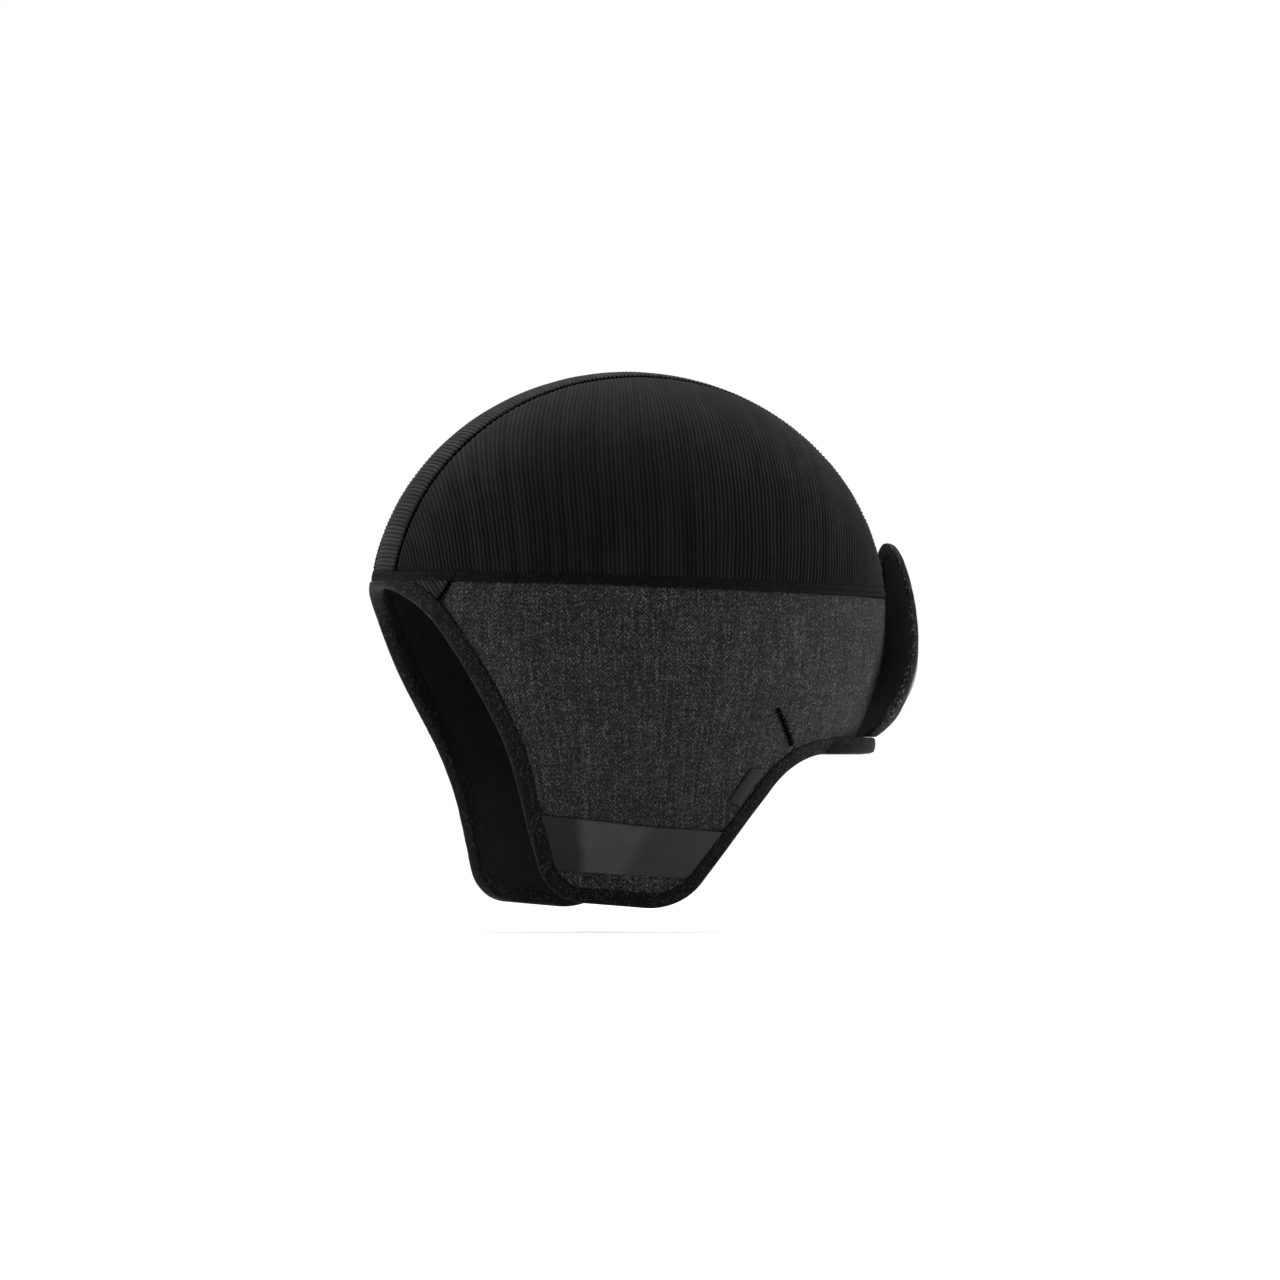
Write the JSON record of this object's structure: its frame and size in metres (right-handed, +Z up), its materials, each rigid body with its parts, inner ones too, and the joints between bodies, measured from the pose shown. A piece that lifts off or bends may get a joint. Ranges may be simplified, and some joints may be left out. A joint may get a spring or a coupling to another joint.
{
  "type": "water helmet",
  "caption": "Soft foam-laminated water cap with a rib knit crown, heathered skirt, folding ear flaps and a cupped pocket flap at the nape.",
  "frame": {"origin": "middle of the head opening at its widest level, where the cap seats on the head", "axes": "+Z up, -Y the way the wearer faces, +X the wearer's left"},
  "size_m": [0.1622, 0.2235, 0.2141],
  "materials": {
    "rib_knit": "matte rib knit, fine ribs about 2 mm apart",
    "heather_weave": "matte heathered herringbone weave",
    "edge_binding": "matte speckled binding tape",
    "satin_patch": "smooth satin band",
    "coated_shell": "smooth coated fabric",
    "fleece_lining": "matte fleece",
    "seam_thread": "ladder stitched thread",
    "elastic_band": "narrow overlocked seam tape",
    "keeper_web": "smooth folded tape",
    "foam": "closed-cell foam"
  },
  "bodies": {
    "cap": {"crown_centre_panel": "rib_knit", "crown_left_panel": "rib_knit", "crown_right_panel": "rib_knit", "crown_seam_left": "seam_thread", "crown_seam_right": "seam_thread", "crown_base_seam": "elastic_band", "crown_centre_foam": "foam", "crown_left_foam": "foam", "crown_right_foam": "foam", "crown_lining_left": "fleece_lining", "crown_lining_right": "fleece_lining", "forehead_panel": "rib_knit", "skirt_left_panel": "heather_weave", "skirt_right_panel": "heather_weave", "forehead_seam_left": "seam_thread", "forehead_seam_right": "seam_thread", "dart_seam_left": "seam_thread", "dart_seam_right": "seam_thread", "centre_back_seam": "seam_thread", "skirt_left_foam": "foam", "skirt_right_foam": "foam", "skirt_left_lining": "fleece_lining", "skirt_right_lining": "fleece_lining", "brow_binding": "edge_binding", "nape_binding": "edge_binding", "pocket_base_binding": "edge_binding"},
    "ear_flap_left": {"ear_flap_left_panel": "heather_weave", "ear_flap_left_patch": "satin_patch", "ear_flap_left_tip": "heather_weave", "ear_flap_left_foam": "foam", "ear_flap_left_lining": "fleece_lining", "ear_flap_left_binding": "edge_binding", "ear_flap_left_strap_keeper": "keeper_web"},
    "ear_flap_right": {"ear_flap_right_panel": "heather_weave", "ear_flap_right_patch": "satin_patch", "ear_flap_right_tip": "heather_weave", "ear_flap_right_foam": "foam", "ear_flap_right_lining": "fleece_lining", "ear_flap_right_binding": "edge_binding", "ear_flap_right_strap_keeper": "keeper_web"},
    "rear_flap": {"rear_flap_shell": "coated_shell", "rear_flap_lining": "fleece_lining", "rear_flap_binding": "edge_binding"}
  },
  "joints": [
    {"name": "ear_flap_left_fold", "type": "hinge", "parent": "cap", "child": "ear_flap_left", "pos_m": [0.0687, 0, -0.0605], "axis": [0, -1, 0], "range_deg": [0, 75], "stiffness_Nm_per_rad": 0.04},
    {"name": "ear_flap_right_fold", "type": "hinge", "parent": "cap", "child": "ear_flap_right", "pos_m": [-0.0687, 0, -0.0605], "axis": [0, 1, 0], "range_deg": [0, 75], "stiffness_Nm_per_rad": 0.04},
    {"name": "rear_flap_fold", "type": "hinge", "parent": "cap", "child": "rear_flap", "pos_m": [0, 0.1008, -0.0499], "axis": [-1, 0, 0], "range_deg": [0, 70], "stiffness_Nm_per_rad": 0.04}
  ]
}
